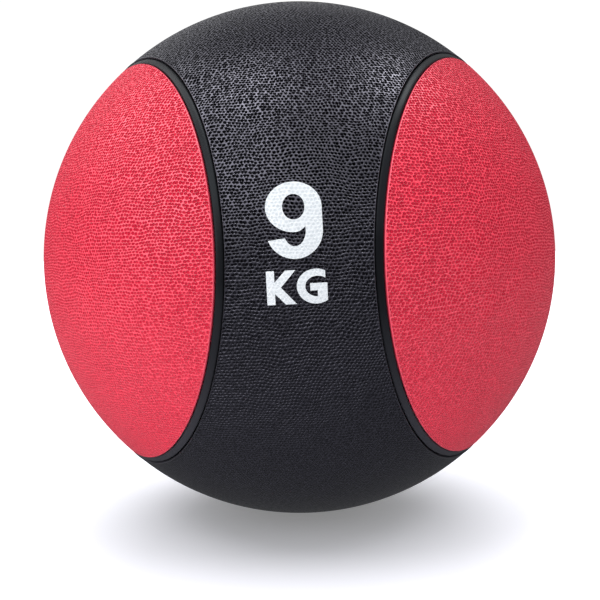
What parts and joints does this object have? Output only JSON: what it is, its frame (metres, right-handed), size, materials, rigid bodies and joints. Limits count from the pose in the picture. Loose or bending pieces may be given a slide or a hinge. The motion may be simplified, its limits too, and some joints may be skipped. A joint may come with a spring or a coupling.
{
  "type": "medicine ball",
  "caption": "Round hollow rubber exercise ball with pebble-grained black cover, round red panels edged by smooth strips, a white weight mark and a recessed needle valve.",
  "frame": {"origin": "centre of the ball", "axes": "+Z runs from the centre through the black pole that holds the air valve; -Y points at the middle of the weight mark's side, the front; +X is to the right as seen from the front"},
  "size_m": [0.28, 0.28, 0.2798],
  "materials": {
    "black_rubber": "satin",
    "smooth_black_rubber": "satin",
    "red_rubber": "satin",
    "white_print": "satin",
    "weighted_rubber": "matte",
    "nylon_thread": "matte",
    "butyl_rubber": "satin",
    "valve_rubber": "matte"
  },
  "bodies": {
    "root": {"cover": "black_rubber", "panel_left": "red_rubber", "panel_right": "red_rubber", "panel_back": "red_rubber", "border_strip_left": "smooth_black_rubber", "border_strip_right": "smooth_black_rubber", "border_strip_back": "smooth_black_rubber", "weight_mark_9": "white_print", "weight_mark_k": "white_print", "weight_mark_g": "white_print", "weighted_shell_upper": "weighted_rubber", "weighted_shell_lower": "weighted_rubber", "thread_winding": "nylon_thread", "bladder": "butyl_rubber", "valve_housing": "valve_rubber", "valve_insert": "valve_rubber"}
  },
  "joints": []
}
